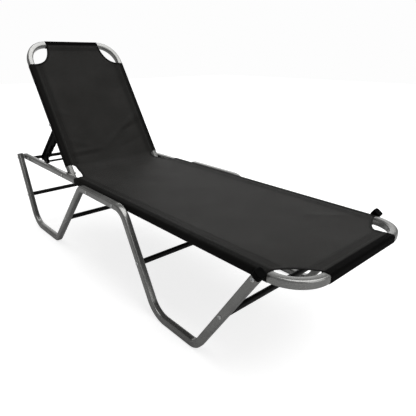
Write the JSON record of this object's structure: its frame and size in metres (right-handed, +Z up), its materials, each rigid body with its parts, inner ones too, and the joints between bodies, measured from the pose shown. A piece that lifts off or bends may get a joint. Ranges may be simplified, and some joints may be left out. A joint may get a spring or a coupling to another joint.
{
  "type": "sun lounger",
  "caption": "Folding garden sun lounger: bent silver tube frame, dark stretched cloth and a backrest on notched arms.",
  "frame": {"origin": "on the floor below the middle of the lounger's bounding box", "axes": "+X towards the foot end, +Y to the left of a person lying on it, +Z up"},
  "size_m": [1.722, 0.5966, 0.8803],
  "materials": {
    "silver_paint": "satin silver grey powder coat on steel tube",
    "black_paint": "satin black powder coat",
    "zinc": "bright zinc plate",
    "black_plastic": "fine grained moulding",
    "grey_plastic": "fine grained moulding",
    "mesh_cloth": "dark grey coated polyester weave"
  },
  "bodies": {
    "frame": {"main_frame": "silver_paint", "arm_support_bar": "black_paint", "crossbar_head": "black_paint", "crossbar_rear": "black_paint", "crossbar_middle": "black_paint", "crossbar_foot": "black_paint", "seat_cloth": "mesh_cloth", "leg_left": "silver_paint", "leg_right": "silver_paint", "leg_top_plug_left": "grey_plastic", "leg_top_plug_right": "grey_plastic", "leg_cap_left": "black_plastic", "leg_cap_right": "black_plastic", "rail_plug_left": "grey_plastic", "rail_plug_right": "grey_plastic", "leg_bolt_1_left": "zinc", "leg_bolt_1_right": "zinc", "leg_bolt_2_left": "zinc", "leg_bolt_2_right": "zinc", "leg_bolt_3_left": "zinc", "leg_bolt_3_right": "zinc", "leg_bolt_4_left": "zinc", "leg_bolt_4_right": "zinc", "crossbar_screw_1_left": "zinc", "crossbar_screw_1_right": "zinc", "crossbar_screw_2_left": "zinc", "crossbar_screw_2_right": "zinc", "crossbar_screw_3_left": "zinc", "crossbar_screw_3_right": "zinc", "crossbar_screw_4_left": "zinc", "crossbar_screw_4_right": "zinc", "arm_bar_screw_left": "zinc", "arm_bar_screw_right": "zinc", "hinge_bolt_left": "zinc", "hinge_bolt_right": "zinc", "hinge_spacer_left": "black_plastic", "hinge_spacer_right": "black_plastic"},
    "backrest": {"back_frame": "silver_paint", "back_cloth": "mesh_cloth", "back_plug_left": "grey_plastic", "back_plug_right": "grey_plastic", "pivot_bolt_left": "zinc", "pivot_bolt_right": "zinc"},
    "arms": {"arm_left": "black_plastic", "arm_right": "black_plastic", "arm_rod": "black_paint"}
  },
  "joints": [
    {"name": "backrest_hinge", "type": "hinge", "parent": "frame", "child": "backrest", "pos_m": [-0.38607, 0, 0.3375], "axis": [0, -1, 0], "range_deg": [0, 53]},
    {"name": "arms_hinge", "type": "hinge", "parent": "backrest", "child": "arms", "pos_m": [-0.51796, 0, 0.53325], "axis": [0, -1, 0], "range_deg": [0, 32]}
  ],
  "couplings": [
    {"joint": "arms_hinge", "follows": "backrest_hinge", "ratio": 0.6}
  ]
}
